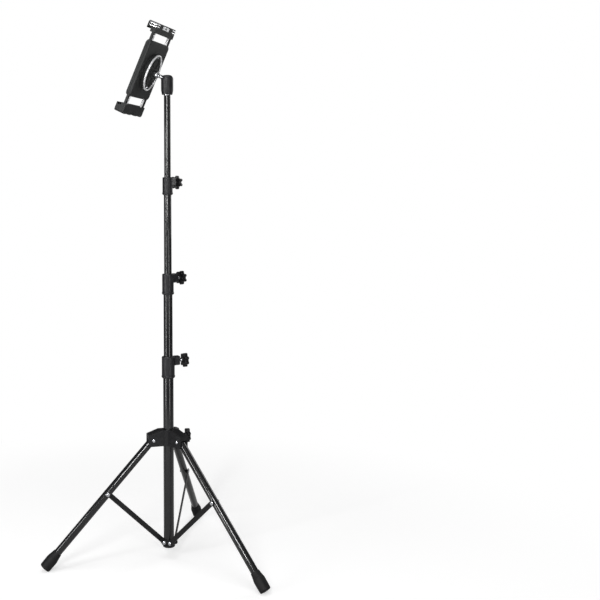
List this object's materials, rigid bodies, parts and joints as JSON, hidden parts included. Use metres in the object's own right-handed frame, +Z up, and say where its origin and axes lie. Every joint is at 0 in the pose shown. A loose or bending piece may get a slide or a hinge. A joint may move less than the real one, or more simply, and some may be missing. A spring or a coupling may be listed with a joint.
{
  "type": "adjustable tablet floor stand",
  "caption": "Folding three-legged floor stand with a telescoping column, clamp knobs, a ball head and a sprung two-jaw holder for a tablet.",
  "frame": {"origin": "on the floor at the column's axis, midway between the three feet", "axes": "+Z up along the column; the picture looks along +Y, with +X to its right"},
  "size_m": [0.46, 0.4573, 1.1392],
  "materials": {
    "black_paint": "gloss black powder coat",
    "black_plastic": "satin moulded black",
    "black_rubber": "matte black",
    "bright_steel": "zinc plated",
    "chrome": "polished",
    "brass": "turned",
    "silver_trim": "metallised gloss",
    "white_nylon": "moulded"
  },
  "bodies": {
    "column": {"outer_tube": "black_paint", "lower_hub": "black_plastic", "lower_rivets": "bright_steel", "lower_collar": "black_plastic"},
    "hub": {"leg_hub": "black_plastic", "hub_rivets": "bright_steel"},
    "section_2": {"second_tube": "black_paint", "middle_collar": "black_plastic"},
    "section_3": {"third_tube": "black_paint", "upper_collar": "black_plastic"},
    "section_4": {"top_tube": "black_paint", "head_stud": "bright_steel"},
    "head": {"head_housing": "black_paint", "ball_seat": "white_nylon"},
    "wing": {"head_knob": "black_plastic", "head_knob_screw": "bright_steel"},
    "ball": {"ball_stem": "chrome"},
    "nut": {"lock_nut": "chrome"},
    "holder": {"holder_back": "black_plastic", "holder_front": "black_plastic", "mount_dish": "black_plastic", "oval_ring": "chrome", "thread_insert": "brass", "holder_screws": "bright_steel", "grip_pads": "black_rubber", "arm_springs": "bright_steel"},
    "upper_clamp": {"upper_arm": "black_plastic", "upper_rods": "chrome", "upper_jaw_trim": "silver_trim", "upper_jaw_pads": "black_rubber"},
    "lower_clamp": {"lower_arm": "black_plastic", "lower_rods": "chrome", "lower_jaw_pads": "black_rubber"},
    "leg_back": {"leg_back": "black_paint", "foot_back": "black_rubber", "leg_rivet_back": "bright_steel"},
    "brace_back": {"brace_back": "black_paint", "brace_rivet_back": "bright_steel"},
    "leg_left": {"leg_left": "black_paint", "foot_left": "black_rubber", "leg_rivet_left": "bright_steel"},
    "brace_left": {"brace_left": "black_paint", "brace_rivet_left": "bright_steel"},
    "leg_right": {"leg_right": "black_paint", "foot_right": "black_rubber", "leg_rivet_right": "bright_steel"},
    "brace_right": {"brace_right": "black_paint", "brace_rivet_right": "bright_steel"},
    "hub_knob": {"hub_knob": "black_plastic", "hub_screw": "bright_steel", "hub_pad": "white_nylon"},
    "lower_knob": {"lower_knob": "black_plastic", "lower_screw": "bright_steel", "lower_pad": "white_nylon"},
    "middle_knob": {"middle_knob": "black_plastic", "middle_screw": "bright_steel", "middle_pad": "white_nylon"},
    "upper_knob": {"upper_knob": "black_plastic", "upper_screw": "bright_steel", "upper_pad": "white_nylon"}
  },
  "joints": [
    {"name": "hub_slide", "type": "slide", "parent": "column", "child": "hub", "axis": [0, 0, 1], "range_m": [0, 0.089]},
    {"name": "leg_back_fold", "type": "hinge", "parent": "hub", "child": "leg_back", "pos_m": [0.00863, 0.03371, 0.2526], "axis": [-0.9688, 0.2478, 0], "range_deg": [0, 42.85]},
    {"name": "brace_back_fold", "type": "hinge", "parent": "column", "child": "brace_back", "pos_m": [0.0031, 0.01211, 0.0345], "axis": [0.9688, -0.2478, 0], "range_deg": [0, 39.12]},
    {"name": "leg_left_fold", "type": "hinge", "parent": "hub", "child": "leg_left", "pos_m": [-0.03351, -0.00939, 0.2526], "axis": [0.2698, -0.9629, 0], "range_deg": [0, 42.85]},
    {"name": "brace_left_fold", "type": "hinge", "parent": "column", "child": "brace_left", "pos_m": [-0.01204, -0.00337, 0.0345], "axis": [-0.2698, 0.9629, 0], "range_deg": [0, 39.12]},
    {"name": "leg_right_fold", "type": "hinge", "parent": "hub", "child": "leg_right", "pos_m": [0.02489, -0.02433, 0.2526], "axis": [0.699, 0.7151, 0], "range_deg": [0, 42.85]},
    {"name": "brace_right_fold", "type": "hinge", "parent": "column", "child": "brace_right", "pos_m": [0.00894, -0.00874, 0.0345], "axis": [-0.699, -0.7151, 0], "range_deg": [0, 39.12]},
    {"name": "section_2_slide", "type": "slide", "parent": "column", "child": "section_2", "axis": [0, 0, 1], "range_m": [-0.1313, 0.145]},
    {"name": "section_3_slide", "type": "slide", "parent": "section_2", "child": "section_3", "axis": [0, 0, 1], "range_m": [-0.1675, 0.12]},
    {"name": "section_4_slide", "type": "slide", "parent": "section_3", "child": "section_4", "axis": [0, 0, 1], "range_m": [-0.1755, 0.125]},
    {"name": "head_pan", "type": "hinge", "parent": "section_4", "child": "head", "pos_m": [0, 0, 0.9853], "axis": [0, 0, 1], "continuous": true},
    {"name": "wing_turn", "type": "hinge", "parent": "head", "child": "wing", "pos_m": [0.00188, 0.0179, 1.002], "axis": [0.1045, 0.9945, 0], "range_deg": [0, 360]},
    {"name": "ball_tilt", "type": "hinge", "parent": "head", "child": "ball", "pos_m": [0, 0, 1.017], "axis": [0.4368, 0.8996, 0], "range_deg": [-25, 84]},
    {"name": "nut_turn", "type": "hinge", "parent": "ball", "child": "nut", "pos_m": [-0.0195, 0.00947, 1.02729], "axis": [-0.8126, 0.3946, 0.4289], "continuous": true},
    {"name": "holder_swivel", "type": "hinge", "parent": "ball", "child": "holder", "pos_m": [-0.03039, 0.01476, 1.03304], "axis": [-0.8126, 0.3946, 0.4289], "continuous": true},
    {"name": "upper_clamp_slide", "type": "slide", "parent": "holder", "child": "upper_clamp", "axis": [0.3859, -0.1874, 0.9033], "range_m": [-0.0155, 0.023], "stiffness_N_per_m": 250, "springref_m": -0.035},
    {"name": "lower_clamp_slide", "type": "slide", "parent": "holder", "child": "lower_clamp", "axis": [-0.3859, 0.1874, -0.9033], "range_m": [-0.0175, 0.023], "stiffness_N_per_m": 250, "springref_m": -0.035},
    {"name": "hub_knob_turn", "type": "hinge", "parent": "hub", "child": "hub_knob", "pos_m": [0.03486, 0.00976, 0.2573], "axis": [0.9629, 0.2698, 0], "range_deg": [0, 360]},
    {"name": "lower_knob_turn", "type": "hinge", "parent": "column", "child": "lower_knob", "pos_m": [0.02864, 0.01336, 0.4175], "axis": [0.9063, 0.4226, 0], "range_deg": [0, 360]},
    {"name": "middle_knob_turn", "type": "hinge", "parent": "section_2", "child": "middle_knob", "pos_m": [0.02273, 0.02195, 0.5933], "axis": [0.7193, 0.6947, 0], "range_deg": [0, 360]},
    {"name": "upper_knob_turn", "type": "hinge", "parent": "section_3", "child": "upper_knob", "pos_m": [0.01483, 0.0279, 0.799], "axis": [0.4695, 0.8829, 0], "range_deg": [0, 360]}
  ],
  "couplings": [
    {"joint": "leg_back_fold", "follows": "hub_slide", "rad_per_m": 8.4026},
    {"joint": "brace_back_fold", "follows": "hub_slide", "rad_per_m": 7.6697},
    {"joint": "leg_left_fold", "follows": "hub_slide", "rad_per_m": 8.4026},
    {"joint": "brace_left_fold", "follows": "hub_slide", "rad_per_m": 7.6697},
    {"joint": "leg_right_fold", "follows": "hub_slide", "rad_per_m": 8.4026},
    {"joint": "brace_right_fold", "follows": "hub_slide", "rad_per_m": 7.6697}
  ]
}
